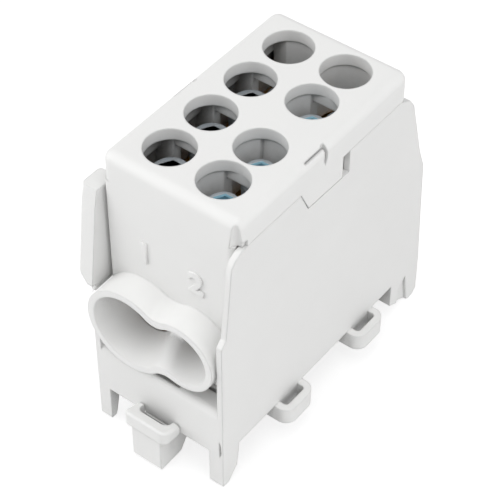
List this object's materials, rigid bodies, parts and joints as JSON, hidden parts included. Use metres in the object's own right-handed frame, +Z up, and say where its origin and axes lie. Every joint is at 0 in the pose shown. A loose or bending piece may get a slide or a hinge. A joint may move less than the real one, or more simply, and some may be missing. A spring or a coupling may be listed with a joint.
{
  "type": "power distribution block",
  "caption": "Narrow rail-mounted power distribution block with screw clamps under a clip-on cover and twin conductor funnels at each end.",
  "frame": {"origin": "middle of the 35 mm rail seat, at the level of the side plates' lower edge and midway between the two screw columns", "axes": "+X along the rail, to the side with the open belt loops; +Y across the rail, away from the latch; +Z up, away from the rail"},
  "size_m": [0.0275, 0.0512, 0.0486],
  "materials": {
    "base_plastic": "fine matt moulding",
    "cover_plastic": "fine matt moulding",
    "brass": "machined",
    "zinc_steel": "zinc plated, blue passivated",
    "spring_steel": "bright"
  },
  "bodies": {
    "housing": {"base_housing": "base_plastic", "cover": "cover_plastic", "terminal_body": "brass", "latch_spring": "spring_steel"},
    "screw_1": {"clamping_screw_1": "zinc_steel"},
    "screw_2": {"clamping_screw_2": "zinc_steel"},
    "screw_3": {"clamping_screw_3": "zinc_steel"},
    "screw_4": {"clamping_screw_4": "zinc_steel"},
    "screw_5": {"clamping_screw_5": "zinc_steel"},
    "screw_6": {"clamping_screw_6": "zinc_steel"},
    "screw_7": {"clamping_screw_7": "zinc_steel"},
    "screw_8": {"clamping_screw_8": "zinc_steel"},
    "latch": {"rail_latch": "base_plastic"}
  },
  "joints": [
    {"name": "screw_1_travel", "type": "slide", "parent": "housing", "child": "screw_1", "axis": [0, 0, 1], "range_m": [-0.0115, 0]},
    {"name": "screw_2_travel", "type": "slide", "parent": "housing", "child": "screw_2", "axis": [0, 0, 1], "range_m": [-0.0115, 0]},
    {"name": "screw_3_travel", "type": "slide", "parent": "housing", "child": "screw_3", "axis": [0, 0, 1], "range_m": [-0.0115, 0]},
    {"name": "screw_4_travel", "type": "slide", "parent": "housing", "child": "screw_4", "axis": [0, 0, 1], "range_m": [-0.007, 0]},
    {"name": "screw_5_travel", "type": "slide", "parent": "housing", "child": "screw_5", "axis": [0, 0, 1], "range_m": [-0.0105, 0]},
    {"name": "screw_6_travel", "type": "slide", "parent": "housing", "child": "screw_6", "axis": [0, 0, 1], "range_m": [-0.0105, 0]},
    {"name": "screw_7_travel", "type": "slide", "parent": "housing", "child": "screw_7", "axis": [0, 0, 1], "range_m": [-0.0105, 0]},
    {"name": "screw_8_travel", "type": "slide", "parent": "housing", "child": "screw_8", "axis": [0, 0, 1], "range_m": [-0.006, 0]},
    {"name": "latch_pull", "type": "slide", "parent": "housing", "child": "latch", "axis": [0, -1, 0], "range_m": [0, 0.0023], "stiffness_N_per_m": 900, "springref_m": -0.0015, "deforming": ["latch_spring"]}
  ]
}
